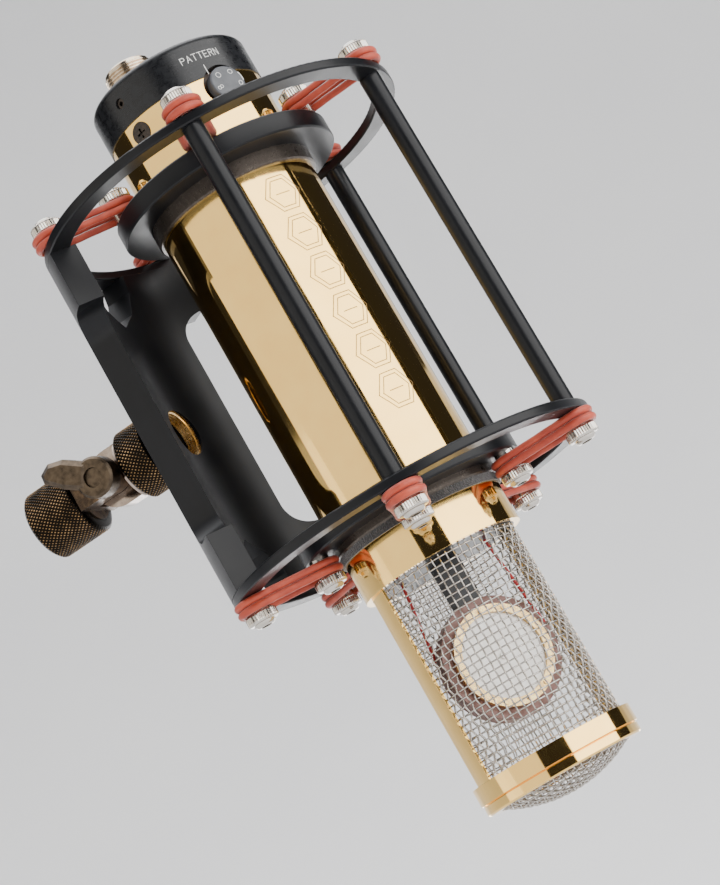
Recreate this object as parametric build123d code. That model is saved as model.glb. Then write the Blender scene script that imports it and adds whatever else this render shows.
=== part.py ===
from build123d import *
import math
import os

# A large condenser microphone in a cage shock mount, with its stand swivel.
# Frame, in mm: origin at the mouth of the stand thread, +X towards the microphone,
# +Z along the microphone from its grille to its connector.

# ---- driving dimensions ----
AX = 106.3            # distance from the stand thread's mouth to the microphone's axis
FRONT = -45.0         # direction the capsule, window and pattern knob face, degrees from +X
STATIONS = (-72.0, 0.0, 72.0, 144.0, 216.0)   # five suspension points round the cage
ROD_STATIONS = (-72.0, 0.0, 72.0)             # those three carry a rod, the rest the bracket

BODY_R, BODY_WALL = 25.4, 2.0                 # 2 inch body tube
BODY_Z0, BODY_Z1 = -76.0, 80.0
CAP_R, CAP_Z1 = 25.7, 93.6
KNOB_AZ, KNOB_Z, KNOB_R = -36.4, 75.6, 5.6    # pattern knob
POCKET_R, POCKET_DEPTH = 6.9, 4.0
CONN_OFF, CONN_R, CONN_Z1 = -9.0, 7.93, 105.3  # threaded connector, towards the stand side
HEAD_Z0 = -137.0                              # lower end of the grille
END_Z0, DOME_Z = -145.6, -151.0               # end ring and the tip of the domed mesh
MESH_R, MESH_T = 23.1, 0.6
RAIL_R, RAIL_HALF = 24.1, 10.5                # side rails: outer radius, half width in degrees
CAPS_Z = -108.0                               # capsule centre
DIAPH_R, CLAMP_R, SADDLE_R = 12.9, 15.35, 18.35

RING_R, RING_RI, RING_T = 59.0, 52.0, 3.0     # outer rings
CAGE_Z = 59.75                                # outer faces of the outer rings
ROD_R = 3.175                                 # quarter inch rods
POST_RO, POST_RI = 54.8, 32.3                 # outer and inner post circles
INNER_R, INNER_T, INNER_Z = 35.5, 6.3, 58.6   # inner rings and their outer faces
COLLAR_R = 26.75                              # clamp collars under the inner rings
UPPER_COLLAR_H, LOWER_COLLAR_H = 5.0, 2.6
FELT_R, FELT_H = 26.2, 2.4                    # felt band under the lower collar

SPOOL_RO, SPOOL_RI = 3.8, 3.2                 # outer and inner band spools
POST_H, SHANK_R = 4.8, 1.6                    # spool height and screw shank
NUT_R, NUT_H, NUT_DOME = 4.8, 3.0, 1.3        # knurled thumb nuts
CORD_R, CORD_GAP = 1.15, 0.05                 # elastic loops

PLATE_R, PLATE_T = 59.0, 8.4                  # bracket shell
PLATE_HALF, WAIST_HALF = 41.0, 24.5           # half angles at its feet and at its waist
FOOT_H = 18.0
STUD_R = 7.9                                  # 5/8 inch stud
THREAD_RI = 7.45                              # root wall of the 5/8 inch stand thread
PIVOT_X = 29.9                                # swivel pivot
STAND_R, LOCK_R = 11.4, 11.5                  # knurled collars
LOCK_X0, LOCK_X1 = 36.1, 47.0                 # lock collar, up against the bracket
FIT = 0.05                                    # running clearance on a radius


def around(radius, azimuth, z):
    a = math.radians(azimuth)
    return Location((AX + radius * math.cos(a), radius * math.sin(a), z))


def outward(radius, azimuth, z):
    """A place whose local Z points away from the microphone's axis."""
    a = math.radians(azimuth)
    return Location(Plane(
        origin=(AX + radius * math.cos(a), radius * math.sin(a), z),
        x_dir=(-math.sin(a), math.cos(a), 0),
        z_dir=(math.cos(a), math.sin(a), 0),
    ))


def disc(radius, z0, z1, x=AX, y=0.0):
    return Pos(x, y, z0) * Cylinder(radius, z1 - z0, align=(Align.CENTER, Align.CENTER, Align.MIN))


def ring(r_out, r_in, z0, z1):
    return disc(r_out, z0, z1) - disc(r_in, z0 - 1, z1 + 1)


def along_x(radius, x0, x1):
    return Pos(x0, 0, 0) * Rot(0, 90, 0) * Cylinder(
        radius, x1 - x0, align=(Align.CENTER, Align.CENTER, Align.MIN))


def along_y(radius, y0, y1, x=PIVOT_X):
    return Pos(x, y0, 0) * Rot(-90, 0, 0) * Cylinder(
        radius, y1 - y0, align=(Align.CENTER, Align.CENTER, Align.MIN))


def wedge(mid, half, z0, z1, reach=90.0):
    """A pie slice about the microphone's axis, for cutting arcs out of rings."""
    points = [(AX, 0)]
    steps = max(2, math.ceil(half / 15))
    for i in range(-steps, steps + 1):
        a = math.radians(mid + half * i / steps)
        points.append((AX + reach * math.cos(a), reach * math.sin(a)))
    face = make_face(Polyline(*points, close=True))
    return extrude(Pos(0, 0, z0) * face, z1 - z0)


def turned(profile):
    """A solid turned about the microphone's axis from (radius, z) points."""
    face = make_face(Polyline(*profile, close=True))
    return Pos(AX, 0, 0) * revolve(Rot(90, 0, 0) * face, Axis.Z)


def group(solids):
    return Compound(children=[s for s in solids])


# ---- microphone ----
def knob_pocket(depth):
    return outward(BODY_R - depth, KNOB_AZ, KNOB_Z) * Cylinder(POCKET_R, depth + 8, align=(
        Align.CENTER, Align.CENTER, Align.MIN))


def body_tube():
    tube = ring(BODY_R, BODY_R - BODY_WALL, BODY_Z0, BODY_Z1)
    tube -= knob_pocket(POCKET_DEPTH)
    for turn in (60, 180, 300):
        tube -= outward(BODY_R - 4, FRONT + turn, 75.5) * Cylinder(2.0, 8)
        tube -= outward(BODY_R + 0.1, FRONT + turn, 75.5) * Cone(2.0, 3.65, 1.5, align=(
            Align.CENTER, Align.CENTER, Align.MAX))
    return tube


def side_rails():
    wall = ring(RAIL_R, MESH_R + 0.1, HEAD_Z0, BODY_Z0)
    return group([wall & wedge(FRONT + side, RAIL_HALF, HEAD_Z0 - 1, BODY_Z0 + 1) for side in (90, -90)])


def top_cap():
    cap = disc(CAP_R, BODY_Z1, CAP_Z1)
    cap = fillet(cap.edges().sort_by(Axis.Z)[-1], 2.2)
    cap += disc(BODY_R - BODY_WALL - 0.05, BODY_Z1 - 8, BODY_Z1)
    cap -= disc(BODY_R - BODY_WALL - 3, BODY_Z1 - 9, CAP_Z1 - 4)
    cap -= disc(CONN_R - 1.0, CAP_Z1 - 6, CAP_Z1 + 1, x=AX + CONN_OFF)
    cap -= knob_pocket(14)
    for turn in (60, 180, 300):
        cap -= outward(BODY_R - 4, FRONT + turn, 75.5) * Cylinder(1.6, 8)
    cap -= outward(CAP_R, -108, 87) * Cylinder(1.6, 8)
    return cap


def connector_shell():
    """Threaded sleeve: the thread is a stack of plain ridges, 1 mm apart."""
    root, crest, bore = CONN_R - 0.55, CONN_R, CONN_R - 1.9
    points = [(bore, CAP_Z1 - 4), (CONN_R - 1.02, CAP_Z1 - 4), (CONN_R - 1.02, CAP_Z1), (root, CAP_Z1)]
    z = CAP_Z1 + 0.6
    while z < CONN_Z1 - 1.2:
        points += [(root, z), (crest, z + 0.35), (crest, z + 0.6), (root, z + 0.95)]
        z += 1.0
    points += [(root, CONN_Z1 - 0.4), (root - 0.4, CONN_Z1), (bore, CONN_Z1)]
    return Pos(CONN_OFF, 0, 0) * turned(points)


def connector_insert():
    insert = disc(CONN_R - 1.95, CAP_Z1 - 4, CONN_Z1 - 4, x=AX + CONN_OFF)
    for i in range(7):
        insert -= pin_place(i, CONN_Z1 - 7) * Cylinder(0.72, 12)
    return insert


def pin_place(i, z):
    if i == 6:
        return Location((AX + CONN_OFF, 0, z))
    a = math.radians(60 * i)
    return Location((AX + CONN_OFF + 3.7 * math.cos(a), 3.7 * math.sin(a), z))


def connector_pins():
    return group([pin_place(i, CONN_Z1 - 7) * Cylinder(0.7, 10) for i in range(7)])


def pattern_knob():
    disc_part = Cylinder(KNOB_R, 3.0, align=(Align.CENTER, Align.CENTER, Align.MIN))
    disc_part = fillet(disc_part.edges().sort_by(Axis.Z)[-1], 0.6)
    shaft = Cylinder(2.0, 7, align=(Align.CENTER, Align.CENTER, Align.MAX))
    return outward(BODY_R - 1.2, KNOB_AZ, KNOB_Z) * (disc_part + shaft)


def pattern_switch():
    """Rotary switch inside the pocket: its front plate closes the pocket's floor."""
    plate = Cylinder(POCKET_R - 0.1, 1.0, align=(Align.CENTER, Align.CENTER, Align.MAX))
    can = Pos(0, 0, -1) * Cylinder(6.0, 6, align=(Align.CENTER, Align.CENTER, Align.MAX))
    bore = Cylinder(2.0 + FIT, 20)
    return outward(BODY_R - POCKET_DEPTH + 1.0, KNOB_AZ, KNOB_Z) * (plate + can - bore)


def cap_screws():
    solids = []
    for turn in (60, 180, 300):
        head = Cone(1.85, 3.4, 1.4, align=(Align.CENTER, Align.CENTER, Align.MAX))
        head += Pos(0, 0, -1.4) * Cylinder(1.55, 3.4, align=(Align.CENTER, Align.CENTER, Align.MAX))
        head -= Box(3.2, 0.7, 1.4) + Box(0.7, 3.2, 1.4)
        solids.append(outward(BODY_R - 0.02, FRONT + turn, 75.5) * head)
    return group(solids)


def cap_set_screw():
    screw = Cylinder(1.55, 2.4, align=(Align.CENTER, Align.CENTER, Align.MAX))
    screw -= extrude(RegularPolygon(0.8, 6), 1.2, both=True)
    return outward(CAP_R - 0.6, -108, 87) * screw


def head_base():
    """Disc that closes the tube above the grille and carries the capsule."""
    plate = disc(BODY_R - BODY_WALL - 0.03, BODY_Z0, BODY_Z0 + 5)
    for side in (0, 180):
        plate -= around(13.3, FRONT + 70.2 + side, BODY_Z0 + 3) * Cylinder(1.0, 12)
    return plate


def grille_mesh():
    return ring(MESH_R, MESH_R - MESH_T, HEAD_Z0, BODY_Z0)


def end_ring():
    seam = END_Z0 + 3.1
    return turned([(MESH_R - 2.4, END_Z0), (BODY_R - 1.0, END_Z0), (BODY_R - 0.5, END_Z0 + 0.5),
                   (BODY_R - 0.5, seam - 0.25), (BODY_R - 0.9, seam), (BODY_R, seam + 0.25), (BODY_R, HEAD_Z0),
                   (MESH_R - 2.4, HEAD_Z0)])


def dome_mesh():
    """Shallow cap of mesh held inside the end ring."""
    rim = MESH_R - 2.45
    depth = END_Z0 + 0.4 - DOME_Z
    big = (rim * rim + depth * depth) / (2 * depth)
    centre = DOME_Z + big
    outer, inner = [], []
    for i in range(9):
        r = rim * i / 8
        outer.append((r, centre - math.sqrt(big * big - r * r)))
        inner.append((r, centre - math.sqrt(big * big - r * r) + MESH_T))
    return turned(outer + [(rim, END_Z0 + 3.0), (rim - MESH_T, END_Z0 + 3.0)] + inner[-2::-1])


def facing(offset, z=CAPS_Z):
    """A place on the capsule's axis, local Z pointing to the front."""
    return outward(offset, FRONT, z)


def capsule_core():
    """Both backplates and their spacer."""
    return facing(0) * Cylinder(CLAMP_R - 0.35, 6.0)


def capsule_saddle():
    saddle = Pos(0, 0, 0) * Cylinder(SADDLE_R, 5.0) - Cylinder(CLAMP_R - 0.3, 6.0)
    return facing(0) * saddle


def clamp_rings():
    one = Pos(0, 0, 3.0) * Cylinder(CLAMP_R, 1.5, align=(Align.CENTER, Align.CENTER, Align.MIN))
    one -= Pos(0, 0, 3.0) * Cylinder(DIAPH_R, 5)
    return group([facing(0) * one, facing(0) * Rot(180, 0, 0) * one])


def diaphragms():
    one = Pos(0, 0, 3.0) * Cylinder(DIAPH_R - 0.02, 0.4, align=(Align.CENTER, Align.CENTER, Align.MIN))
    return group([facing(0) * one, facing(0) * Rot(180, 0, 0) * one])


def capsule_screws():
    solids = []
    r = (CLAMP_R + DIAPH_R) / 2
    for side in (0, 180):
        for i in range(12):
            a = math.radians(30 * i)
            head = Pos(r * math.cos(a), r * math.sin(a), 4.5) * Cylinder(0.7, 0.4, align=(
                Align.CENTER, Align.CENTER, Align.MIN))
            solids.append(facing(0) * Rot(side, 0, 0) * head)
    return group(solids)


def diaphragm_terminals():
    one = Pos(0, 0, 3.4) * Cylinder(1.1, 0.7, align=(Align.CENTER, Align.CENTER, Align.MIN))
    return group([facing(0) * one, facing(0) * Rot(180, 0, 0) * one])


def capsule_post():
    """Column from the head base down to the saddle, hollowed to the saddle's rim."""
    height = BODY_Z0 - (CAPS_Z + 14.0)
    column = Pos(0, -(height / 2 + CAPS_Z + 14.0 - CAPS_Z), 0) * Box(8.0, height, 4.6)
    column = facing(0) * Rot(0, 0, 180) * column
    return column - facing(0) * Cylinder(SADDLE_R + 0.02, 20)


def lead_wires():
    """Two insulated leads from the head base to the rims of the capsule's two faces."""
    solids = []
    for side in (0, 180):
        low = around(16.9, FRONT + 74.6 + side, CAPS_Z + 3).position
        high = around(13.3, FRONT + 70.2 + side, BODY_Z0 + 4).position
        line = Line(low, high)
        solids.append(sweep(Plane(origin=low, z_dir=high - low) * Circle(0.5), path=line))
    return group(solids)


def chassis_rails():
    return group([around(17, FRONT + side, BODY_Z0 + 5) * Cylinder(2.0, 137, align=(
        Align.CENTER, Align.CENTER, Align.MIN)) for side in (90, -90)])


def circuit_board():
    return Pos(AX, 0, 0) * Rot(0, 0, FRONT + 90) * Pos(0, 4, 26) * Box(28, 1.6, 80)


def tube_socket():
    return disc(9, -50, -44)


def vacuum_tube():
    glass = disc(7.5, -44, -26) + Pos(AX, 0, -26) * Sphere(7.5)
    return glass


def output_transformer():
    return disc(12, -68, -52)


# ---- suspension ----
def outer_ring(level):
    z0, z1 = sorted((CAGE_Z * level, (CAGE_Z - RING_T) * level))
    part = ring(RING_R, RING_RI, z0, z1)
    part = fillet(part.edges().filter_by(GeomType.CIRCLE), 0.5)
    for az in STATIONS:
        part -= around(POST_RO, az, (z0 + z1) / 2) * Cylinder(SHANK_R, 8)
    return part


def inner_ring(level):
    z0, z1 = sorted((INNER_Z * level, (INNER_Z - INNER_T) * level))
    part = ring(INNER_R, BODY_R + 0.02, z0, z1)
    part = chamfer(part.edges().filter_by(GeomType.CIRCLE).sort_by(SortBy.RADIUS)[-2:], 0.5)
    for az in STATIONS:
        hole = Cylinder(SHANK_R, 5, align=(Align.CENTER, Align.CENTER, Align.MAX if level > 0 else Align.MIN))
        part -= around(POST_RI, az, INNER_Z * level) * hole
    return part


def clamp_collar(top, height):
    """Split collar that locks an inner ring to the body, from its top face down."""
    part = turned([(BODY_R + 0.02, top), (COLLAR_R, top), (COLLAR_R, top - height + 0.5),
                   (COLLAR_R - 0.5, top - height), (BODY_R + 0.02, top - height)])
    for turn in (32, 212):
        part -= outward(COLLAR_R, FRONT + turn, top - height / 2) * Cylinder(0.95, 6)
    return part


def collar_screws():
    solids = []
    for top, height in ((INNER_Z - INNER_T, UPPER_COLLAR_H), (-INNER_Z, LOWER_COLLAR_H)):
        for turn in (32, 212):
            screw = Cylinder(0.9, 0.9, align=(Align.CENTER, Align.CENTER, Align.MAX))
            screw -= extrude(RegularPolygon(0.45, 6), 0.5, both=True)
            solids.append(outward(COLLAR_R - 0.1, FRONT + turn, top - height / 2) * screw)
    return group(solids)


def felt_band():
    top = -INNER_Z - LOWER_COLLAR_H
    return ring(FELT_R, BODY_R + 0.02, top - FELT_H, top)


def upright(level):
    """Turns a part built upwards from a ring's face to point the level's way out."""
    return Rot(0, 0, 0) if level > 0 else Rot(180, 0, 0)


def posts(radius, spool_r, face, level, depth):
    """Spools whose outer ends all stand level, with a shank into the ring and a tip for the nut."""
    height = CAGE_Z + POST_H - face
    spool = Cylinder(spool_r, height, align=(Align.CENTER, Align.CENTER, Align.MIN))
    spool += Cylinder(SHANK_R - 0.02, depth, align=(Align.CENTER, Align.CENTER, Align.MAX))
    spool += Pos(0, 0, height) * Cylinder(SHANK_R - 0.02, 2.6, align=(Align.CENTER, Align.CENTER, Align.MIN))
    return group([around(radius, az, face * level) * upright(level) * spool for az in STATIONS])


def nuts(radius, level):
    nut = Cylinder(NUT_R, NUT_H, align=(Align.CENTER, Align.CENTER, Align.MIN))
    nut = chamfer(nut.edges().filter_by(GeomType.CIRCLE), 0.35)
    dome = Pos(0, 0, NUT_H) * Cone(3.3, 2.3, NUT_DOME, align=(Align.CENTER, Align.CENTER, Align.MIN))
    nut = nut + dome - Cylinder(SHANK_R, 5.4)
    return group([around(radius, az, (CAGE_Z + POST_H) * level) * upright(level) * nut for az in STATIONS])


def cord_run(start, end):
    return Plane(origin=start, z_dir=end - start) * Cylinder(CORD_R, (end - start).length, align=(
        Align.CENTER, Align.CENTER, Align.MIN))


def band_loop():
    """One elastic loop round a smaller inner and a larger outer spool."""
    near, far = SPOOL_RI + CORD_GAP + CORD_R, SPOOL_RO + CORD_GAP + CORD_R
    span = POST_RO - POST_RI
    lean = math.degrees(math.asin((far - near) / span))
    section = Rot(90, 0, 0) * Circle(CORD_R)
    loop = Rot(0, 0, 90 + lean) * revolve(Pos(near, 0, 0) * section, Axis.Z, 180 - 2 * lean)
    loop += Pos(span, 0, 0) * Rot(0, 0, -90 - lean) * revolve(Pos(far, 0, 0) * section, Axis.Z, 180 + 2 * lean)
    for side in (1, -1):
        away = Vector(-math.sin(math.radians(lean)), side * math.cos(math.radians(lean)), 0)
        loop += cord_run(away * near, Vector(span, 0, 0) + away * far)
    return loop


def bands(level):
    solids, loop = [], band_loop()
    for az in STATIONS:
        for height in (CORD_R + 0.05, 3 * CORD_R + 0.08):
            place = around(POST_RI, az, (CAGE_Z + height) * level)
            solids.append(place * Rot(0, 0, az) * loop)
    return group(solids)


def rod(az):
    part = around(POST_RO, az, 0) * Cylinder(ROD_R, 2 * (CAGE_Z - RING_T))
    for level in (1, -1):
        part -= around(POST_RO, az, level * (CAGE_Z - RING_T)) * Cylinder(SHANK_R, 16)
    return part


def mount_bracket():
    """Curved plate between the rings: four feet, a narrow waist and an arch at each end."""
    top = CAGE_Z - RING_T
    shell = ring(PLATE_R, PLATE_R - PLATE_T, -top, top) & wedge(180, PLATE_HALF, -top - 1, top + 1)
    waist = PLATE_R * math.sin(math.radians(WAIST_HALF))
    edge = PLATE_R + 20
    for side in (1, -1):
        cut = Rectangle(edge - waist, 2 * (top - FOOT_H))
        cut = fillet(cut.vertices(), 9.0)
        block = extrude(Plane.YZ * Pos(side * (waist + edge) / 2, 0) * cut, AX)
        shell -= block
    arch = make_face(Polyline((-14.5, 30), (-14.5, 4), (-12.5, -6), (-8, -14), (0, -19), (8, -14), (12.5, -6),
                              (14.5, 4), (14.5, 30), close=True))
    for level in (1, -1):
        shell -= extrude(Plane.YZ * Pos(0, level * top) * Rot(0, 0, 0 if level > 0 else 180) * arch, AX)
    shell -= along_x(STUD_R + FIT, AX - 70, AX - 40)
    for az in (144, 216):
        for level in (1, -1):
            shell -= around(POST_RO, az, level * top) * Cylinder(SHANK_R, 16)
    return shell


# ---- stand swivel ----
def thread_stud():
    """5/8 inch stud halfway into the bracket, with its thread as plain ridges."""
    x0, x1 = LOCK_X0 + 0.2, AX - 55.4
    root = STUD_R - 0.5
    profile = [(0, x0), (root, x0)]
    x = x0 + 0.3
    while x < x1 - 1.2:
        profile += [(root, x), (STUD_R, x + 0.33), (STUD_R, x + 0.55), (root, x + 0.88)]
        x += 0.94
    profile += [(root, x1 - 0.4), (root - 0.4, x1), (0, x1)]
    face = make_face(Polyline(*[(px, r) for r, px in profile], close=True))
    return revolve(face, Axis.X)


def knurled_collar(x0, x1, radius, bore, edge=1.2):
    part = along_x(radius, x0, x1)
    part = chamfer(part.edges().filter_by(GeomType.CIRCLE), edge)
    return part - along_x(bore, x0 - 1, x1 + 1)


def lock_collar():
    return knurled_collar(LOCK_X0, LOCK_X1, LOCK_R, STUD_R + FIT)


def swivel_neck():
    """Flat tongue on a round neck: the tongue turns about the pivot, the stud screws in."""
    back = LOCK_X0 - 1.0
    tongue = along_y(9.2, -3.0, 3.0) & Pos(back - 25, 0, 0) * Box(50, 30, 30)
    tongue += Pos((PIVOT_X + back) / 2, 0, 0) * Box(back - PIVOT_X, 6, 18.4)
    return tongue + along_x(7.0, back, LOCK_X0 + 0.2) - along_y(3.0 + FIT, -20, 20)


def neck_washer():
    return along_x(9.8, LOCK_X0 - 1.0, LOCK_X0 - 0.2) - along_x(7.02, LOCK_X0 - 2, LOCK_X0 + 1)


def clevis():
    """Two ears round the tongue on a round shank that the stand collar screws to."""
    ears = along_y(5.0, -10.5, 10.5) + Pos((18.0 + PIVOT_X) / 2, 0, 0) * Box(PIVOT_X - 18.0, 21, 9.8)
    ears -= Pos(35, 0, 0) * Box(29.2, 6.6, 40)
    return ears + along_x(7.9, 13.2, 18.4) - along_y(3.0 + FIT, -20, 20)


def stand_collar():
    """Knurled collar with the 5/8 inch stand thread in its lower end."""
    part = along_x(STAND_R, 0, 17.9)
    part = chamfer(part.edges().filter_by(GeomType.CIRCLE), 1.3)
    part -= along_x(THREAD_RI, -1, 12.6)
    part -= along_x(7.92, 12.6, 19)
    return part


def pivot_bolt():
    bolt = along_y(3.0, -16.6, 11.0)
    head = along_y(5.4, 10.55, 14.0)
    return bolt + chamfer(head.edges().filter_by(GeomType.CIRCLE).sort_by(Axis.Y)[-1], 0.6)


def pivot_washer():
    return along_y(6.0, -11.6, -10.55) - along_y(3.0 + 0.02, -12, -10)


def wing_nut():
    """Round boss with one faceted lever, parked pointing back and up."""
    boss = along_y(6.4, -17.5, -11.9)
    boss = chamfer(boss.edges().filter_by(GeomType.CIRCLE).sort_by(Axis.Y)[0], 0.8)
    outline = make_face(Polyline((2, -4.6), (11, -5), (16, -3.4), (18.1, 0.2), (16.8, 2.6), (10, 4), (2, 4.2),
                                 close=True))
    lever = extrude(Plane.XZ * outline, 6.0)
    lever = chamfer(lever.faces().sort_by(Axis.Y)[0].edges(), 1.6)
    turned_lever = Rot(0, -146.6, 0) * Pos(0, -12.2, 0) * lever
    return boss + Pos(PIVOT_X, 0, 0) * turned_lever - along_y(3.0 + FIT, -30, -8)


PARTS = {
    "body_tube": body_tube,
    "side_rails": side_rails,
    "top_cap": top_cap,
    "connector_shell": connector_shell,
    "connector_insert": connector_insert,
    "connector_pins": connector_pins,
    "pattern_knob": pattern_knob,
    "pattern_switch": pattern_switch,
    "cap_screws": cap_screws,
    "cap_set_screw": cap_set_screw,
    "head_base": head_base,
    "grille_mesh": grille_mesh,
    "end_ring": end_ring,
    "dome_mesh": dome_mesh,
    "capsule_core": capsule_core,
    "capsule_saddle": capsule_saddle,
    "clamp_rings": clamp_rings,
    "diaphragms": diaphragms,
    "capsule_screws": capsule_screws,
    "diaphragm_terminals": diaphragm_terminals,
    "capsule_post": capsule_post,
    "lead_wires": lead_wires,
    "chassis_rails": chassis_rails,
    "circuit_board": circuit_board,
    "tube_socket": tube_socket,
    "vacuum_tube": vacuum_tube,
    "output_transformer": output_transformer,
    "upper_inner_ring": lambda: inner_ring(1),
    "lower_inner_ring": lambda: inner_ring(-1),
    "upper_clamp_collar": lambda: clamp_collar(INNER_Z - INNER_T, UPPER_COLLAR_H),
    "lower_clamp_collar": lambda: clamp_collar(-INNER_Z, LOWER_COLLAR_H),
    "felt_band": felt_band,
    "collar_screws": collar_screws,
    "upper_inner_posts": lambda: posts(POST_RI, SPOOL_RI, INNER_Z, 1, 4.5),
    "lower_inner_posts": lambda: posts(POST_RI, SPOOL_RI, INNER_Z, -1, 4.5),
    "upper_inner_nuts": lambda: nuts(POST_RI, 1),
    "lower_inner_nuts": lambda: nuts(POST_RI, -1),
    "upper_outer_ring": lambda: outer_ring(1),
    "lower_outer_ring": lambda: outer_ring(-1),
    "upper_outer_posts": lambda: posts(POST_RO, SPOOL_RO, CAGE_Z, 1, 9.0),
    "lower_outer_posts": lambda: posts(POST_RO, SPOOL_RO, CAGE_Z, -1, 9.0),
    "upper_outer_nuts": lambda: nuts(POST_RO, 1),
    "lower_outer_nuts": lambda: nuts(POST_RO, -1),
    "upper_bands": lambda: bands(1),
    "lower_bands": lambda: bands(-1),
    "front_rod": lambda: rod(ROD_STATIONS[0]),
    "right_rod": lambda: rod(ROD_STATIONS[1]),
    "back_rod": lambda: rod(ROD_STATIONS[2]),
    "mount_bracket": mount_bracket,
    "thread_stud": thread_stud,
    "lock_collar": lock_collar,
    "swivel_neck": swivel_neck,
    "neck_washer": neck_washer,
    "clevis": clevis,
    "stand_collar": stand_collar,
    "pivot_bolt": pivot_bolt,
    "pivot_washer": pivot_washer,
    "wing_nut": wing_nut,
}

os.makedirs("parts", exist_ok=True)
for name, build in PARTS.items():
    export_step(build(), f"parts/{name}.step")
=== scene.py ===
import math
import bmesh
import bpy
import numpy as np
from mathutils import Matrix, Vector


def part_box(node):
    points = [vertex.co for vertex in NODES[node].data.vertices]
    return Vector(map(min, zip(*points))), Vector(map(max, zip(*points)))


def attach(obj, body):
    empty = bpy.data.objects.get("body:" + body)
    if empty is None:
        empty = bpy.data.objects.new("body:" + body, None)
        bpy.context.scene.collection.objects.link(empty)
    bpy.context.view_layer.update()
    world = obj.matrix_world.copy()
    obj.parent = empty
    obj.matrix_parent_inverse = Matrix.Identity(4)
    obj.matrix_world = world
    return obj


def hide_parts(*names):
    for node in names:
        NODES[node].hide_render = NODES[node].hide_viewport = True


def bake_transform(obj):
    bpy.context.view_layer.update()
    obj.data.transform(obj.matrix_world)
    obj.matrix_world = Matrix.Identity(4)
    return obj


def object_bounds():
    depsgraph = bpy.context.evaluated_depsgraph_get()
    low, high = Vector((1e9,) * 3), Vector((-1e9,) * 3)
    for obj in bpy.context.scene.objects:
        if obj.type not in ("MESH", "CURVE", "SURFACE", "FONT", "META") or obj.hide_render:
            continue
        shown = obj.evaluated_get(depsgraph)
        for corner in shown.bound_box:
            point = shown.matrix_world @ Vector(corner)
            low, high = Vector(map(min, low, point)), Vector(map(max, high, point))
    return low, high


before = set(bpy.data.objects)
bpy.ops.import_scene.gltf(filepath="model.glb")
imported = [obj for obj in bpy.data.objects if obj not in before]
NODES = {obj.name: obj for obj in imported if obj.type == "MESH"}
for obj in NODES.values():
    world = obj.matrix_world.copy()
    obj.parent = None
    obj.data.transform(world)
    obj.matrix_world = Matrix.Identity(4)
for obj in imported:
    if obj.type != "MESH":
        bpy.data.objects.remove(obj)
cad_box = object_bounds()

MM = 0.001
lo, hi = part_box("grille_mesh")
AX = (lo[0] + hi[0]) / 2                       # the microphone's axis
STATIONS = (-72.0, 0.0, 72.0, 144.0, 216.0)      # suspension points, degrees
KNOB_AZ, KNOB_Z = math.radians(-36.4), 0.0756     # pattern knob
LABEL_AZ, LABEL_Z = math.radians(-43), 0.0870     # word above the knob
ORNAMENT_AZ = math.radians(-40.5)
THREAD_PITCH, THREAD_R = 0.94 * MM, 7.45 * MM     # 5/8 inch stand thread, minor radius
WALL_LOW = 0.31                                   # low part of the backdrop, as a share
POST_RO, POST_RI = 54.8 * MM, 32.3 * MM


# ---------------------------------------------------------------- materials
def new_material(name):
    m = bpy.data.materials.new(name)
    m.use_nodes = True
    nt = m.node_tree
    return m, nt, nt.nodes["Principled BSDF"]


def coords(nt, scale=(1, 1, 1)):
    tc = nt.nodes.new("ShaderNodeTexCoord")
    mp = nt.nodes.new("ShaderNodeMapping")
    mp.inputs["Scale"].default_value = scale
    nt.links.new(tc.outputs["Object"], mp.inputs["Vector"])
    return mp.outputs["Vector"]


def noise(nt, vector, scale, detail=3.0, rough=0.55):
    n = nt.nodes.new("ShaderNodeTexNoise")
    n.inputs["Scale"].default_value = scale
    n.inputs["Detail"].default_value = detail
    n.inputs["Roughness"].default_value = rough
    nt.links.new(vector, n.inputs["Vector"])
    return n.outputs["Fac"]


def remap(nt, value, lo_in, hi_in, lo_out, hi_out):
    r = nt.nodes.new("ShaderNodeMapRange")
    for key, v in (("From Min", lo_in), ("From Max", hi_in), ("To Min", lo_out), ("To Max", hi_out)):
        r.inputs[key].default_value = v
    nt.links.new(value, r.inputs["Value"])
    return r.outputs["Result"]


def blend_colors(nt, fac, a, b):
    m = nt.nodes.new("ShaderNodeMix")
    m.data_type = "RGBA"
    m.inputs["A"].default_value = (*a, 1)
    m.inputs["B"].default_value = (*b, 1)
    nt.links.new(fac, m.inputs["Factor"])
    return m.outputs["Result"]


def bump(nt, bsdf, height, strength, distance, edge=0.0):
    b = nt.nodes.new("ShaderNodeBump")
    b.inputs["Strength"].default_value = strength
    b.inputs["Distance"].default_value = distance
    nt.links.new(height, b.inputs["Height"])
    if edge:
        bev = nt.nodes.new("ShaderNodeBevel")
        bev.samples = 4
        bev.inputs["Radius"].default_value = edge
        nt.links.new(bev.outputs["Normal"], b.inputs["Normal"])
    nt.links.new(b.outputs["Normal"], bsdf.inputs["Normal"])


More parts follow.
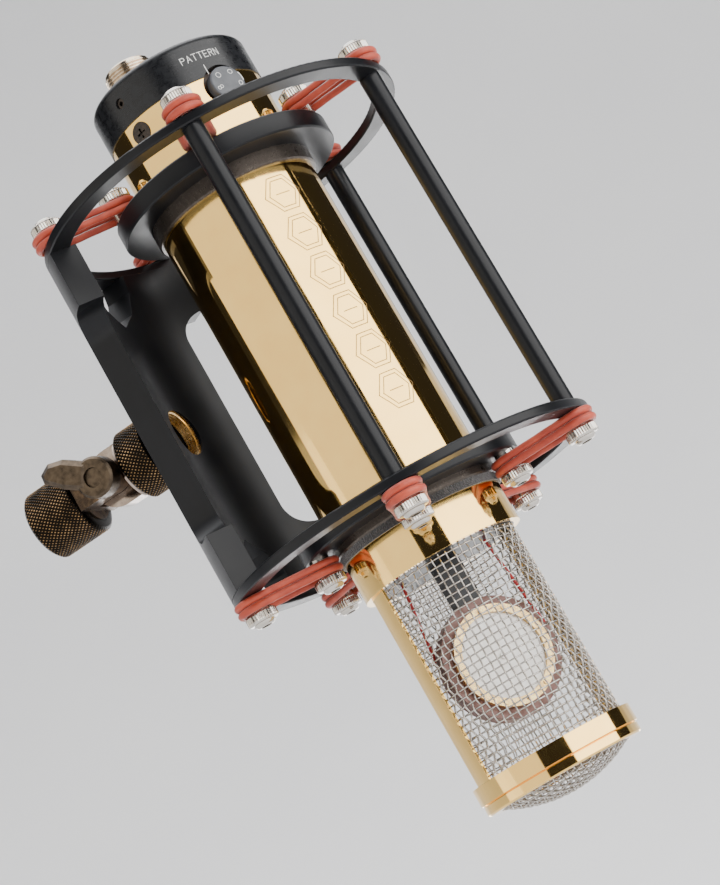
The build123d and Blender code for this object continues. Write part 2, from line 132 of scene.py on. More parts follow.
def finish(name, a, b, rough, metallic=0.0, grain=(1, 1, 1), size=0.4, depth=0.01, strength=0.3, edge=0.0,
           patch=6.0, contrast=(0.35, 0.65), **sockets):
    """A surface whose colour drifts from a to b in patches, with grain of one size in mm.
    rough is (low, high); grain stretches the grain along an axis; depth in mm is the bump's height."""
    m, nt, bsdf = new_material(name)
    fine = noise(nt, coords(nt, grain), 1 / (size * MM), 4.0)
    broad = noise(nt, coords(nt), 1 / (patch * MM), 4.0)
    nt.links.new(blend_colors(nt, remap(nt, broad, *contrast, 0, 1), a, b), bsdf.inputs["Base Color"])
    both = nt.nodes.new("ShaderNodeMath")
    both.operation = "ADD"
    nt.links.new(fine, both.inputs[0])
    nt.links.new(broad, both.inputs[1])
    nt.links.new(remap(nt, both.outputs[0], 0.7, 1.3, *rough), bsdf.inputs["Roughness"])
    bump(nt, bsdf, fine, strength, depth * MM, edge)
    bsdf.inputs["Metallic"].default_value = metallic
    for key, v in sockets.items():
        bsdf.inputs[key.replace("_", " ")].default_value = v
    return m


def worn(name, base, bright, rough, size=0.35, depth=0.01):
    """Dark metal whose raised tips, marked by a mesh attribute, are rubbed bright."""
    m, nt, bsdf = new_material(name)
    at = nt.nodes.new("ShaderNodeAttribute")
    at.attribute_name = "wear"
    fine = noise(nt, coords(nt), 1 / (size * MM), 4.0)
    broad = noise(nt, coords(nt), 1 / (5 * MM), 3.0)
    mul = nt.nodes.new("ShaderNodeMath")
    mul.operation = "MULTIPLY"
    nt.links.new(at.outputs["Fac"], mul.inputs[0])
    nt.links.new(remap(nt, broad, 0.3, 0.7, 0.55, 1.35), mul.inputs[1])
    nt.links.new(blend_colors(nt, remap(nt, mul.outputs[0], 0.45, 1.05, 0, 1), base, bright),
                 bsdf.inputs["Base Color"])
    nt.links.new(remap(nt, fine, 0.3, 0.7, *rough), bsdf.inputs["Roughness"])
    bump(nt, bsdf, fine, 0.3, depth * MM)
    bsdf.inputs["Metallic"].default_value = 1.0
    return m


GOLD = finish("gold_polished", (1.0, 0.66, 0.21), (0.96, 0.62, 0.19), (0.035, 0.10), 1.0,
              grain=(1, 1, 0.03), size=0.25, depth=0.002, strength=0.12, edge=0.12 * MM, patch=9)
BLACK = finish("black_anodised", (0.0040, 0.0044, 0.0056), (0.0060, 0.0065, 0.0082), (0.28, 0.40), 0.0,
               size=0.16, depth=0.012, strength=0.35, edge=0.18 * MM, patch=14, Specular_IOR_Level=0.24)
BRUSHED = finish("black_brushed", (0.006, 0.0065, 0.008), (0.011, 0.012, 0.014), (0.20, 0.38), 0.1,
                 grain=(0.02, 0.02, 1), size=0.10, depth=0.02, strength=0.5, edge=0.2 * MM, patch=2.0,
                 Specular_IOR_Level=0.4)
NICKEL = finish("nickel", (0.62, 0.58, 0.53), (0.54, 0.50, 0.45), (0.16, 0.26), 1.0, size=0.25, depth=0.003,
                strength=0.15, edge=0.06 * MM, patch=2.5)
WIRE = finish("steel_mesh", (0.56, 0.53, 0.49), (0.40, 0.37, 0.33), (0.16, 0.32), 1.0, size=0.2,
              depth=0.006, strength=0.3, patch=1.2)
RUBBER = finish("red_rubber", (0.47, 0.062, 0.026), (0.33, 0.036, 0.018), (0.40, 0.62), 0.0, size=0.35,
                depth=0.05, strength=0.5, patch=5.0, Specular_IOR_Level=0.45, Sheen_Weight=0.25,
                Sheen_Roughness=0.4)
FELT = finish("black_felt", (0.010, 0.009, 0.009), (0.10, 0.085, 0.072), (0.4, 0.9), 0.0, size=0.5,
              depth=0.6, strength=1.0, patch=0.45, contrast=(0.5, 0.68), Sheen_Weight=0.5)
DIAPHRAGM = finish("diaphragm_film", (0.90, 0.87, 0.83), (0.82, 0.78, 0.73), (0.28, 0.42), 0.35, size=1.1,
                   depth=0.05, strength=0.4, patch=2.5)
BRASS = finish("brass_satin", (0.90, 0.66, 0.32), (0.72, 0.48, 0.20), (0.18, 0.36), 1.0, size=0.3,
               depth=0.01, strength=0.3, edge=0.1 * MM, patch=2.0)
SADDLE = finish("saddle_phenolic", (0.26, 0.135, 0.115), (0.16, 0.075, 0.058), (0.32, 0.55), 0.2, size=0.35,
                depth=0.02, strength=0.35, edge=0.15 * MM, patch=3.0)
CORE = finish("capsule_core", (0.75, 0.56, 0.30), (0.58, 0.40, 0.20), (0.25, 0.45), 1.0, size=0.3,
              depth=0.01, patch=2.0)
PLASTIC = finish("black_plastic", (0.016, 0.016, 0.018), (0.024, 0.024, 0.027), (0.38, 0.55), 0.0, size=0.3,
                 depth=0.02, strength=0.3, edge=0.12 * MM, patch=3.0)
PHENOLIC = finish("phenolic", (0.05, 0.028, 0.018), (0.09, 0.05, 0.03), (0.35, 0.6), 0.0, size=0.3,
                  depth=0.02, patch=2.0)
KNOB = finish("knob_face", (0.075, 0.080, 0.092), (0.055, 0.060, 0.070), (0.34, 0.5), 0.0, size=0.12,
              depth=0.02, strength=0.4, edge=0.2 * MM, patch=3.0, Specular_IOR_Level=0.6)
SCREW = finish("screw_black", (0.035, 0.032, 0.03), (0.07, 0.055, 0.045), (0.25, 0.45), 0.85, size=0.25,
               depth=0.01, edge=0.08 * MM, patch=1.0)
CHROME = finish("dark_chrome", (0.40, 0.33, 0.28), (0.28, 0.22, 0.18), (0.07, 0.2), 1.0, size=0.3,
                depth=0.006, edge=0.1 * MM, patch=3.0)
BRONZE = finish("bronze", (0.050, 0.036, 0.026), (0.16, 0.105, 0.062), (0.24, 0.48), 1.0, size=0.3,
                depth=0.02, strength=0.4, edge=0.15 * MM, patch=2.4, contrast=(0.42, 0.7))
WING = finish("bronze_wing", (0.055, 0.042, 0.030), (0.11, 0.082, 0.056), (0.26, 0.44), 1.0, size=0.28,
              depth=0.03, strength=0.5, edge=0.2 * MM, patch=2.0)
KNURL = worn("bronze_knurled", (0.010, 0.008, 0.006), (0.46, 0.28, 0.13), (0.22, 0.40))
SLEEVE = finish("sleeve_steel", (0.72, 0.62, 0.50), (0.58, 0.47, 0.35), (0.14, 0.28), 1.0, size=0.25,
                depth=0.006, patch=1.5)
STUD = finish("stud_dark", (0.085, 0.068, 0.052), (0.050, 0.040, 0.032), (0.10, 0.24), 1.0, size=0.25,
              depth=0.008, patch=1.5)
COLLAR = finish("collar_satin", (0.085, 0.070, 0.058), (0.065, 0.053, 0.045), (0.24, 0.36), 0.75, size=0.22,
                depth=0.02, strength=0.4, edge=0.12 * MM, patch=1.4, contrast=(0.4, 0.62))
LEAD = finish("wire_red", (0.50, 0.022, 0.020), (0.34, 0.012, 0.012), (0.3, 0.5), 0.0, size=0.3, depth=0.01,
              patch=1.5)
BOARD = finish("circuit_board", (0.02, 0.10, 0.035), (0.03, 0.14, 0.05), (0.3, 0.5), 0.0, size=0.5,
               depth=0.01, patch=3)
GLASS = finish("tube_glass", (0.85, 0.88, 0.88), (0.75, 0.78, 0.78), (0.03, 0.10), 0.0, size=0.8,
               depth=0.005, patch=4, Transmission_Weight=0.9)
IRON = finish("transformer", (0.10, 0.085, 0.07), (0.16, 0.13, 0.10), (0.4, 0.6), 0.6, size=0.4, depth=0.02,
              patch=2)
ALUMINIUM = finish("aluminium", (0.62, 0.62, 0.62), (0.5, 0.5, 0.5), (0.25, 0.4), 1.0, size=0.3, depth=0.01,
                   patch=3)
PRINT = finish("white_print", (0.80, 0.80, 0.78), (0.68, 0.68, 0.66), (0.45, 0.6), 0.0, size=0.1,
               depth=0.01, patch=0.6)
ENGRAVED = finish("engraved_gold", (0.30, 0.185, 0.065), (0.19, 0.11, 0.04), (0.4, 0.6), 0.8, size=0.1,
                  depth=0.01, patch=0.8)

LOOKS = {
    "body_tube": GOLD, "side_rails": GOLD, "end_ring": GOLD, "head_base": BLACK,
    "top_cap": BRUSHED, "connector_shell": SLEEVE, "connector_insert": PLASTIC, "connector_pins": BRASS,
    "pattern_knob": KNOB, "pattern_switch": PHENOLIC, "cap_screws": SCREW, "cap_set_screw": SCREW,
    "capsule_core": CORE, "capsule_saddle": SADDLE, "clamp_rings": BRASS, "diaphragms": DIAPHRAGM,
    "capsule_screws": BRASS, "diaphragm_terminals": DIAPHRAGM, "capsule_post": PLASTIC, "lead_wires": LEAD,
    "chassis_rails": ALUMINIUM, "circuit_board": BOARD, "tube_socket": PHENOLIC, "vacuum_tube": GLASS,
    "output_transformer": IRON, "upper_inner_ring": BLACK, "lower_inner_ring": BLACK,
    "upper_clamp_collar": COLLAR, "lower_clamp_collar": COLLAR, "felt_band": FELT, "collar_screws": SCREW,
    "upper_inner_posts": NICKEL, "lower_inner_posts": NICKEL, "upper_outer_posts": NICKEL,
    "lower_outer_posts": NICKEL, "upper_outer_ring": BLACK, "lower_outer_ring": BLACK, "front_rod": BLACK,
    "right_rod": BLACK, "back_rod": BLACK, "mount_bracket": BLACK, "thread_stud": STUD, "swivel_neck": CHROME,
    "neck_washer": CHROME, "clevis": BRONZE, "pivot_bolt": WING, "pivot_washer": BRONZE, "wing_nut": WING,
}
for node, look in LOOKS.items():
    mesh = NODES[node].data
    for i in range(max(1, len(mesh.materials))):
        if i < len(mesh.materials):
            mesh.materials[i] = look
        else:
            mesh.materials.append(look)


# ---------------------------------------------------------------- mesh tools
def piece(name, verts, faces, look, body=None, smooth=True, wear=None):
    mesh = bpy.data.meshes.new(name)
    mesh.from_pydata([tuple(v) for v in verts], [], [tuple(f) for f in faces])
    mesh.validate()
    mesh.materials.append(look)
    mesh.polygons.foreach_set("use_smooth", [smooth] * len(mesh.polygons))
    if wear is not None:
        at = mesh.attributes.new("wear", "FLOAT", "POINT")
        at.data.foreach_set("value", np.asarray(wear, np.float32))
    obj = bpy.data.objects.new(name, mesh)
    bpy.context.scene.collection.objects.link(obj)
    if body:
        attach(obj, body)
    return obj


class Build:
    """Collects several grids of points into one mesh."""

    def __init__(self):
        self.verts, self.faces, self.wear = [], [], []

    def grid(self, rows, wrap_cols=True, wrap_rows=False, wear=None):
        rows = np.asarray(rows, float)
        n, m = rows.shape[:2]
        base = len(self.verts)
        self.verts.extend(map(tuple, rows.reshape(-1, 3)))
        self.wear.extend(np.zeros(n * m) if wear is None else np.asarray(wear, float).reshape(-1))
        for i in range(n if wrap_rows else n - 1):
            for j in range(m if wrap_cols else m - 1):
                a, b = base + i * m + j, base + i * m + (j + 1) % m
                c, d = base + ((i + 1) % n) * m + (j + 1) % m, base + ((i + 1) % n) * m + j
                self.faces.append((a, b, c, d))


def tube_rows(points, radius, sides=6, closed=False, up=None):
    """Cross-sections of a tube along points. up, one vector a point, sets how they are turned."""
    p = np.asarray(points, float)
    t = (np.roll(p, -1, 0) - np.roll(p, 1, 0)) if closed else np.gradient(p, axis=0)
    t /= np.linalg.norm(t, axis=1)[:, None]
    u = np.asarray(up, float) if up is not None else np.tile((0.0, 0.0, 1.0), (len(p), 1))
    s = np.cross(t, u)
    s /= np.linalg.norm(s, axis=1)[:, None]
    u = np.cross(s, t)
    a = np.linspace(0, 2 * math.pi, sides, endpoint=False)
    r = np.broadcast_to(np.asarray(radius, float), (len(p),))[:, None, None]
    around = np.cos(a)[None, :, None] * s[:, None] + np.sin(a)[None, :, None] * u[:, None]
    return p[:, None] + r * around


def polar(r, az, z):
    return np.stack([AX + r * np.cos(az), r * np.sin(az), np.broadcast_to(z, np.shape(az))], -1)


def split_edges(obj, degrees):
    """Shades an edge sharp where its faces meet at more than the angle."""
    bm = bmesh.new()
    bm.from_mesh(obj.data)
    limit = math.radians(degrees)
    for e in bm.edges:
        e.smooth = not (len(e.link_faces) == 2 and e.calc_face_angle(0) > limit)
    bm.to_mesh(obj.data)
    bm.free()


# ---------------------------------------------------------------- woven grille
PITCH, WIRE_R = 2.2 * MM, 0.25 * MM
BEND_UP, BEND_ROUND = 0.36 * MM, 0.16 * MM      # how far the upright and the round wires weave in and out
lo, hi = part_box("grille_mesh")
weave_r = (hi[0] - lo[0]) / 2 - BEND_UP - WIRE_R
count = round(2 * math.pi * weave_r / PITCH)
count -= count % 2
rows_n = round((hi[2] - lo[2]) / PITCH)
step = (hi[2] - lo[2]) / rows_n
sub = 4
grille = Build()
for i in range(count):
    z = np.linspace(lo[2] + 0.0004, hi[2] - 0.0001, rows_n * sub + 1)
    az = 2 * math.pi * i / count
    r = weave_r + BEND_UP * np.cos(math.pi * (z - lo[2] - step / 2) / step) * (1 if i % 2 else -1)
    line = polar(r, np.full_like(z, az), z)
    line[:, 2] = z
    out = np.tile((math.cos(az), math.sin(az), 0.0), (len(z), 1))
    grille.grid(tube_rows(line, WIRE_R, up=out))
for j in range(rows_n):
    az = np.linspace(0, 2 * math.pi, count * sub, endpoint=False)
    z = lo[2] + step * (j + 0.5)
    r = weave_r + BEND_ROUND * np.cos(count * az / 2) * (1 if j % 2 == 0 else -1)
    line = polar(r, az, z)
    grille.grid(tube_rows(line, WIRE_R, closed=True), wrap_rows=True)
grille_weave = piece("grille_weave", grille.verts, grille.faces, WIRE, "microphone")
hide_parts("grille_mesh")

lo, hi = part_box("dome_mesh")
rim = (hi[0] - lo[0]) / 2 - WIRE_R
edge_z = hi[2] - 0.0025
depth = edge_z - lo[2] - 2 * WIRE_R
big = (rim * rim + depth * depth) / (2 * depth)
centre_z = edge_z - depth + big
dome = Build()
for turn in (0, 1):
    for k in range(-8, 9):
        c = k * PITCH
        if abs(c) > rim - 0.0006:
            continue
        reach = math.sqrt(rim * rim - c * c)
        s = np.linspace(-reach, reach, max(9, int(2 * reach / PITCH * sub)))
        lift = WIRE_R * np.cos(math.pi * s / PITCH) * (1 if (k + turn) % 2 else -1)
        ball = np.sqrt(big * big - s * s - c * c)
        z = centre_z - ball - lift
        x, y = (s, np.full_like(s, c)) if turn == 0 else (np.full_like(s, c), s)
        a = math.radians(20)
        pts = np.stack([AX + x * math.cos(a) - y * math.sin(a), x * math.sin(a) + y * math.cos(a), z], -1)
        dome.grid(tube_rows(pts, WIRE_R))
hem_az = np.linspace(0, 2 * math.pi, 96, endpoint=False)
for z in (edge_z + 0.0003, edge_z + 0.0011, edge_z + 0.0019):
    dome.grid(tube_rows(polar(rim, hem_az, z), WIRE_R * 1.6, closed=True), wrap_rows=True)
dome_weave = piece("dome_weave", dome.verts, dome.faces, WIRE, "microphone")
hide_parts("dome_mesh")


# ---------------------------------------------------------------- knurled thumb nuts
def nut_profile():
    """(radius, height, serration) from the inner lower edge over the outside to the domed centre, in mm."""
    return ((1.62, 0.0, 0), (3.9, 0.0, 0), (4.42, 0.08, 0), (4.62, 0.30, 0.5), (4.8, 0.45, 1), (4.8, 1.0, 1),
            (4.8, 2.0, 1), (4.8, 2.55, 1), (4.62, 2.72, 0.5), (4.40, 2.92, 0), (4.1, 3.0, 0), (3.45, 3.0, 0),
            (3.30, 3.06, 0), (3.18, 3.45, 0), (2.85, 3.95, 0), (2.30, 4.24, 0), (1.75, 4.30, 0),
            (1.62, 4.2, 0), (1.62, 0.0, 0))


def thumb_nuts(name, node, radius, level, body):
    teeth, per = 38, 4
    b = Build()
    lo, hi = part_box(node)
    face = lo[2] if level > 0 else hi[2]
    for k, station in enumerate(STATIONS):
        az = math.radians(station)
        cx, cy = AX + radius * math.cos(az), radius * math.sin(az)
        a = np.linspace(0, 2 * math.pi, teeth * per, endpoint=False) + 0.37 * k
        wave = np.tile((0.0, 0.55, 1.0, 0.55), teeth)
        rows = []
        for r, h, cut in nut_profile():
            rr = (r - 0.24 * cut * wave) * MM
            rows.append(np.stack([cx + rr * np.cos(a), cy + rr * np.sin(a) * level,
                                  np.full_like(a, face + level * h * MM)], -1))
        b.grid(rows)
    obj = piece(name, b.verts, b.faces, NICKEL, body)
    split_edges(obj, 35)
    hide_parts(node)


thumb_nuts("nuts_upper_inner", "upper_inner_nuts", POST_RI, 1, "microphone")
thumb_nuts("nuts_lower_inner", "lower_inner_nuts", POST_RI, -1, "microphone")
thumb_nuts("nuts_upper_outer", "upper_outer_nuts", POST_RO, 1, "shock_frame")
thumb_nuts("nuts_lower_outer", "lower_outer_nuts", POST_RO, -1, "shock_frame")


# ---------------------------------------------------------------- elastic loops
def loop_path(near, far, span, steps=16):
    """The line of a loop round an inner spool at 0 and an outer one at span, in the ring's plane."""
    lean = math.asin((far - near) / span)
    pts, fat = [], []
    for i in range(steps + 1):                 # round the inner spool
        a = math.pi / 2 + lean + (math.pi - 2 * lean) * i / steps
        pts.append((near * math.cos(a), near * math.sin(a)))
        fat.append(1.0)
    straight = 12
    start = (near * math.cos(-math.pi / 2 - lean), near * math.sin(-math.pi / 2 - lean))
    end = (span + far * math.cos(-math.pi / 2 - lean), far * math.sin(-math.pi / 2 - lean))
    for i in range(1, straight):
        f = i / straight
        pull = 4 * f * (1 - f)
        pts.append((start[0] + (end[0] - start[0]) * f, start[1] + (end[1] - start[1]) * f + 0.00022 * pull))
        fat.append(1.0 - 0.07 * pull)
    for i in range(steps + 5):                 # round the outer spool
        a = -math.pi / 2 - lean + (math.pi + 2 * lean) * i / (steps + 4)
        pts.append((span + far * math.cos(a), far * math.sin(a)))
        fat.append(1.0)
    for i in range(1, straight):
        f = 1 - i / straight
        pull = 4 * f * (1 - f)
        pts.append((start[0] + (end[0] - start[0]) * f, -start[1] - (end[1] - start[1]) * f - 0.00022 * pull))
        fat.append(1.0 - 0.07 * pull)
    return np.array(pts), np.array(fat)


CORD = 1.15 * MM
for level, tag in ((1, "upper"), (-1, "lower")):
    lo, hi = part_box(f"{tag}_bands")
    face = lo[2] if level > 0 else hi[2]
    for k, station in enumerate(STATIONS):
        az = math.radians(station)
        b = Build()
        for n, height in enumerate((CORD, 3 * CORD + 0.03 * MM)):
            path, fat = loop_path(3.25 * MM + CORD, 3.85 * MM + CORD, POST_RO - POST_RI)
            side = path[:, 1]
            x = AX + (POST_RI + path[:, 0]) * math.cos(az) - side * math.sin(az)
            y = (POST_RI + path[:, 0]) * math.sin(az) + side * math.cos(az)
            ripple = 0.00007 * np.sin(path[:, 0] * 900 + k + n) * (1 - np.clip(fat, 0, 1)) * 6
            z = np.full_like(x, face + level * height) + ripple
            b.grid(tube_rows(np.stack([x, y, z], -1), CORD * fat, sides=12, closed=True), wrap_rows=True)
        band = piece(f"band_{tag}_{k + 1}", b.verts, b.faces, RUBBER)
        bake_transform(band)
        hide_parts(f"{tag}_bands")


# ---------------------------------------------------------------- diamond knurling
def knurled(name, node, body, bore, chamfer, inner=None):
    """A collar about X with two crossing families of grooves. bore is (radius, from x, to x) steps."""
    lo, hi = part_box(node)
    x0, x1, rad = lo[0], hi[0], (hi[2] - lo[2]) / 2
    turns, per = 56, 6
    a = np.linspace(0, 2 * math.pi, turns * per, endpoint=False)
    pitch = 2 * math.pi * rad / turns
    ka, kb = x0 + chamfer * 0.85, x1 - chamfer * 0.85
    cells = max(2, round((kb - ka) / (pitch * 0.62)))
    xs = np.linspace(ka, kb, cells * 4 + 1)
    b = Build()
    rows, wear = [], []
    for x, r in ((x0, bore[0][0]), (x0, rad - chamfer), (x0 + chamfer * 0.35, rad - chamfer * 0.55)):
        rows.append((np.full_like(a, x), np.full_like(a, r)))
        wear.append(np.full_like(a, 0.15))
    groove = 0.34 * MM
    for x in xs:
        s = a * turns / (2 * math.pi) + (x - ka) / (pitch * 1.24)
        t = a * turns / (2 * math.pi) - (x - ka) / (pitch * 1.24)
        h = np.minimum(abs(2 * (s % 1) - 1), abs(2 * (t % 1) - 1))
        h = np.minimum(h, 0.78) / 0.78
        rows.append((np.full_like(a, x), rad - groove * (1 - h)))
        wear.append(h ** 2)
    for x, r in ((x1 - chamfer * 0.35, rad - chamfer * 0.55), (x1, rad - chamfer), (x1, bore[-1][0])):
        rows.append((np.full_like(a, x), np.full_like(a, r)))
        wear.append(np.full_like(a, 0.15))
    for r, xa, xb in reversed(bore):
        for x in (xb, xa):
            rows.append((np.full_like(a, x), np.full_like(a, r)))
            wear.append(np.zeros_like(a))
    grid = [np.stack([x, r * np.sin(a), r * np.cos(a)], -1) for x, r in rows]
    b.grid(grid, wear=np.array(wear))
    obj = piece(name, b.verts, b.faces, KNURL, body, wear=b.wear)
    split_edges(obj, 40)
    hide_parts(node)


lo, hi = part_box("lock_collar")
knurled("lock_collar_knurled", "lock_collar", "lock_collar", [(7.95 * MM, lo[0], hi[0])], 1.2 * MM)
lo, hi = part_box("stand_collar")
thread = []
x = lo[0]
while x < 12.2 * MM:
    thread += [(THREAD_R, x, x + 0.25 * MM), (7.85 * MM, x + 0.5 * MM, x + 0.7 * MM)]
    x += THREAD_PITCH
knurled("stand_collar_knurled", "stand_collar", "stand_adapter",
        thread + [(THREAD_R, x, 12.6 * MM), (7.92 * MM, 12.6 * MM, hi[0])], 1.3 * MM)


# the bracket's own thread, seen in its hole above the stud's end
lo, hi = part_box("thread_stud")
hole, back = 7.94 * MM, hi[0] + 0.1 * MM
front = AX - 50.9 * MM
a = np.linspace(0, 2 * math.pi, 96, endpoint=False)
rows = [(back, hole)]
x = back + 0.2 * MM
while x + THREAD_PITCH < front:
    rows += [(x, hole), (x + 0.30 * MM, THREAD_R), (x + 0.45 * MM, THREAD_R), (x + 0.75 * MM, hole)]
    x += THREAD_PITCH
rows.append((front, hole))
turns = Build()
turns.grid([np.stack([np.full_like(a, x), r * np.sin(a), r * np.cos(a)], -1) for x, r in rows])
bracket_thread = piece("bracket_thread", turns.verts, turns.faces, BRASS, "shock_frame")
split_edges(bracket_thread, 30)


# ---------------------------------------------------------------- printed and engraved marks
def ribbon(b, points, width, place):
    """A flat line of one width along 2-D points, laid on a surface by place(u, v)."""
    p = np.asarray(points, float)
    t = np.gradient(p, axis=0)
    t /= np.maximum(np.linalg.norm(t, axis=1), 1e-12)[:, None]
    n = np.stack([-t[:, 1], t[:, 0]], -1) * width / 2
    rows = [[place(*(q + m)), place(*(q - m))] for q, m in zip(p, n)]
    b.grid(rows, wrap_cols=False)


def dense(points, gap):
    out = []
    for a, c in zip(points[:-1], points[1:]):
        n = max(1, math.ceil(math.dist(a, c) / gap))
        out += [(a[0] + (c[0] - a[0]) * i / n, a[1] + (c[1] - a[1]) * i / n) for i in range(n)]
    return out + [points[-1]]


def on_cap(u, v):
    """u to the right round the cap, v up it, in mm from the label's middle."""
    lo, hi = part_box("top_cap")
    r = (hi[0] - lo[0]) / 2 + 0.012 * MM
    az = LABEL_AZ + u * MM / r
    return (AX + r * math.cos(az), r * math.sin(az), LABEL_Z + v * MM)


# the control word above the knob, in stroke letters on a 2 x 3 grid
STROKES = {
    "P": [[(0, 0), (0, 3), (1.3, 3), (1.75, 2.7), (1.75, 1.9), (1.3, 1.6), (0, 1.6)]],
    "A": [[(0, 0), (0.95, 3), (1.9, 0)], [(0.35, 1.05), (1.55, 1.05)]],
    "T": [[(0.95, 0), (0.95, 3)], [(0, 3), (1.9, 3)]],
    "E": [[(1.7, 0), (0, 0), (0, 3), (1.7, 3)], [(0, 1.55), (1.4, 1.55)]],
    "R": [[(0, 0), (0, 3), (1.3, 3), (1.75, 2.7), (1.75, 1.9), (1.3, 1.6), (0, 1.6)], [(1.0, 1.6), (1.8, 0)]],
    "N": [[(0, 0), (0, 3), (1.75, 0), (1.75, 3)]],
}
marks = Build()
size = 0.70
word = "PATTERN"
for i, letter in enumerate(word):
    for stroke in STROKES[letter]:
        for a, c in zip(stroke[:-1], stroke[1:]):
            shift = (i - len(word) / 2 + 0.15) * 2.75
            pts = [((x + shift) * size, (y - 1.5) * size) for x, y in dense((a, c), 0.4)]
            d = np.array(pts[-1]) - np.array(pts[0])
            d = d / np.linalg.norm(d) * 0.13
            pts[0] = tuple(np.array(pts[0]) - d)
            pts[-1] = tuple(np.array(pts[-1]) + d)
            ribbon(marks, pts, 0.21, on_cap)
ribbon(marks, dense(((-0.58, -3.2), (-0.58, -6.6)), 0.5), 0.24, on_cap)
piece("cap_print", marks.verts, marks.faces, PRINT, "microphone", smooth=False)

lo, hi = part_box("pattern_knob")
knob_n = np.array((math.cos(KNOB_AZ), math.sin(KNOB_AZ), 0.0))
knob_t = np.array((-math.sin(KNOB_AZ), math.cos(KNOB_AZ), 0.0))
knob_c = np.array((AX, 0.0, KNOB_Z)) + knob_n * (24.2 + 3.0 + 0.012) * MM


def on_knob(u, v):
    return tuple(knob_c + knob_t * u * MM + np.array((0, 0, 1.0)) * v * MM)


symbols = Build()
PATTERNS = ((1.0, 0.0, 0.80), (0.7, 0.3, 0.95), (0.5, 0.5, 1.05), (0.37, 0.63, 1.05), (0.0, 1.0, 1.0))
for k, (omni, lobe, size) in enumerate(PATTERNS):
    turn = math.radians(125 - 72 * k)
    cu, cv = 3.55 * math.cos(turn), 3.55 * math.sin(turn)
    pts = []
    for i in range(49):
        f = 2 * math.pi * i / 48
        r = abs(omni + lobe * math.cos(f)) * size
        out = f + turn
        pts.append((cu + r * math.cos(out), cv + r * math.sin(out)))
    ribbon(symbols, pts, 0.17, on_knob)
arc = [(5.15 * math.cos(a), 5.15 * math.sin(a)) for a in np.radians(np.linspace(-8, 26, 14))]
ribbon(symbols, arc, 0.3, on_knob)
piece("knob_print", symbols.verts, symbols.faces, PRINT, "pattern_knob", smooth=False)

# a plain stippled ornament: a chain of long hexagons, each with a bar inside
lo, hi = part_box("body_tube")
body_r = (hi[0] - lo[0]) / 2


def on_body(u, v):
    az = ORNAMENT_AZ + u * MM / body_r
    return np.array((AX + (body_r + 0.008 * MM) * math.cos(az), (body_r + 0.008 * MM) * math.sin(az), v * MM))


engraving = Build()


def dotted(points, gap=0.38, dot=0.19):
    for u, v in dense(points, gap):
        base = len(engraving.verts)
        for i in range(6):
            a = math.pi * i / 3
            engraving.verts.append(tuple(on_body(u + dot * math.cos(a), v + dot * math.sin(a))))
        engraving.faces.append(tuple(range(base, base + 6)))


for k in range(6):
    mid = 38.0 - 13.4 * k
    for inset in (0.0, 1.5):
        w, h = 6.0 - inset, 5.6 - inset * 0.8
        dotted([(-w, mid), (-w * 0.45, mid + h), (w * 0.45, mid + h), (w, mid), (w * 0.45, mid - h),
                (-w * 0.45, mid - h), (-w, mid)])
    dotted([(-2.2, mid), (2.2, mid)])
piece("body_engraving", engraving.verts, engraving.faces, ENGRAVED, "microphone", smooth=False)


# ---------------------------------------------------------------- studio
def stage_mesh(name, verts, faces, look):
    mesh = bpy.data.meshes.new(name)
    mesh.from_pydata([tuple(v) for v in verts], [], [tuple(f) for f in faces])
    mesh.materials.append(look)
    mesh.polygons.foreach_set("use_smooth", [True] * len(mesh.polygons))
    obj = bpy.data.objects.new(name, mesh)
    bpy.context.scene.collection.objects.link(obj)


PAPER = finish("pale_paper", (0.80, 0.80, 0.80), (0.78, 0.78, 0.785), (0.8, 0.95), 0.0, size=2.0,
               depth=0.02, strength=0.05, patch=400)
FLOOR_Z = cad_box[0][2] - 0.17


def smooth(x, a, b):
    t = min(1.0, max(0.0, (x - a) / (b - a)))
    return t * t * (3 - 2 * t)


def wall_height(az):
    """Share of the backdrop's full height at an azimuth in degrees: tall behind, low at the sides."""
    az %= 360
    tall = smooth(az, 62, 84) * (1 - smooth(az, 136, 158))
    low = smooth(az, 36, 60) * (1 - smooth(az, 212, 240))
    return max(tall, WALL_LOW * low)


n_az, verts, faces = 120, [], []
profile = [(0.0, 0.0), (0.5, 0.0), (1.2, 0.0), (2.4, 0.0)]
profile += [(2.4 + 2.2 * math.sin(t), 2.2 - 2.2 * math.cos(t)) for t in np.linspace(0.08, math.pi / 2, 14)]
profile += [(4.6, 3.2), (4.6, 4.2)]
for i in range(n_az):
    az = 2 * math.pi * i / n_az
    up = wall_height(360 * i / n_az)
    for r, h in profile:
        rr = r + max(0.0, 1 - up / WALL_LOW) * h * 4
        verts.append((AX + rr * math.cos(az), rr * math.sin(az), FLOOR_Z + h * up))
m = len(profile)
for i in range(n_az):
    for j in range(m - 1):
        a, b = i * m + j, i * m + j + 1
        c, d = ((i + 1) % n_az) * m + j + 1, ((i + 1) % n_az) * m + j
        faces.append((a, b, c, d) if j else (a, b, c))
stage_mesh("studio_floor", verts, faces, PAPER)

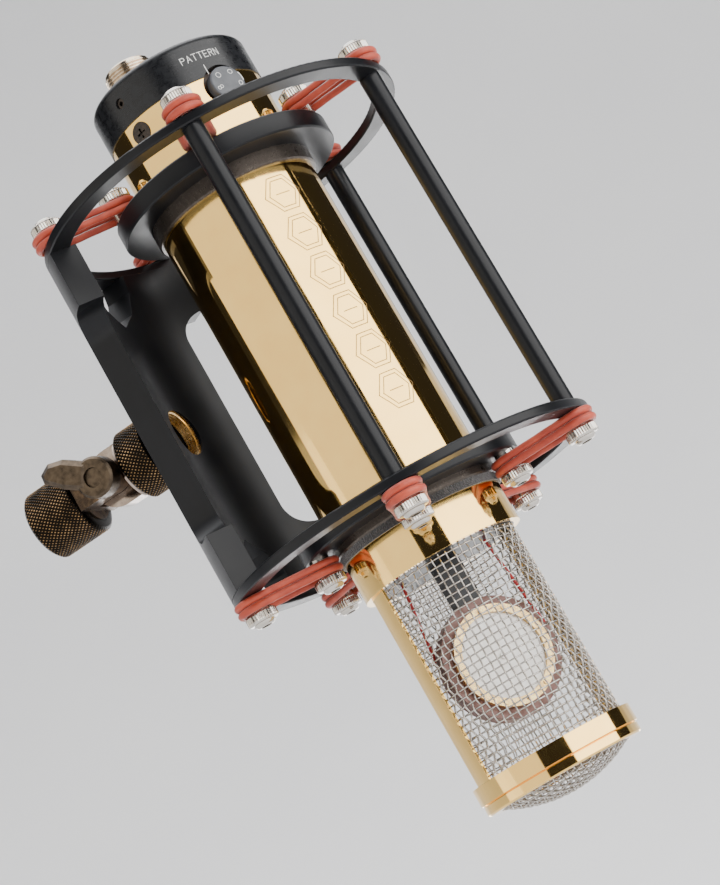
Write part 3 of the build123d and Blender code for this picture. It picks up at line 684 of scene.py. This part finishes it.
world = bpy.context.scene.world or bpy.data.worlds.new("World")
bpy.context.scene.world = world
world.use_nodes = True
nt = world.node_tree
nt.nodes.clear()
tc = nt.nodes.new("ShaderNodeTexCoord")
sep = nt.nodes.new("ShaderNodeSeparateXYZ")
nt.links.new(tc.outputs["Generated"], sep.inputs[0])
top = remap(nt, sep.outputs["Z"], 0.62, 0.92, 0, 1)
bg = nt.nodes.new("ShaderNodeBackground")
nt.links.new(blend_colors(nt, top, (0.030, 0.030, 0.033), (2.4, 2.4, 2.45)), bg.inputs["Color"])
bg.inputs["Strength"].default_value = 1.0
out = nt.nodes.new("ShaderNodeOutputWorld")
nt.links.new(bg.outputs[0], out.inputs["Surface"])

AIM = Vector((AX, 0, -0.02))


def softbox(name, azimuth, elevation, distance, wide, tall, power, color=(1, 1, 1), outwards=False):
    light = bpy.data.lights.new(name, "AREA")
    light.shape = "RECTANGLE"
    light.size, light.size_y = wide, tall
    light.energy = power
    light.color = color
    obj = bpy.data.objects.new(name, light)
    az, el = math.radians(azimuth), math.radians(elevation)
    place = AIM + Vector((math.cos(az) * math.cos(el), math.sin(az) * math.cos(el), math.sin(el))) * distance
    facing = (AIM - place) if outwards else (place - AIM)
    obj.matrix_world = Matrix.Translation(place) @ facing.to_track_quat("Z", "Y").to_matrix().to_4x4()
    obj.visible_camera = False
    bpy.context.scene.collection.objects.link(obj)


softbox("key_right", -15, 13, 1.35, 2.0, 1.2, 36.0, (1.0, 0.99, 0.97))
softbox("key_left", -125, 13, 1.35, 1.9, 1.2, 10.0, (1.0, 0.95, 0.86))
softbox("overhead", 100, 80, 1.4, 1.2, 1.2, 9.0, (0.97, 0.98, 1.0))
softbox("wall_wash", 110, 0, 0.9, 1.4, 1.4, 130.0, outwards=True)

cam = bpy.data.cameras.new("camera")
cam.sensor_fit, cam.sensor_width, cam.lens = "AUTO", 36.0, 92.25
cam.clip_start, cam.clip_end = 0.01, 60
camera = bpy.data.objects.new("camera", cam)
right = Vector((0.79188309, 0.36620004, -0.48869078))
down = Vector((-0.52839697, 0.00971754, -0.84894184))
ahead = Vector((-0.30613366, 0.93048541, 0.20119414))
camera.matrix_world = Matrix((
    (right.x, -down.x, -ahead.x, AX + 0.19977), (right.y, -down.y, -ahead.y, -0.61878),
    (right.z, -down.z, -ahead.z, -0.16650), (0, 0, 0, 1)))
bpy.context.scene.collection.objects.link(camera)
bpy.context.scene.camera = camera
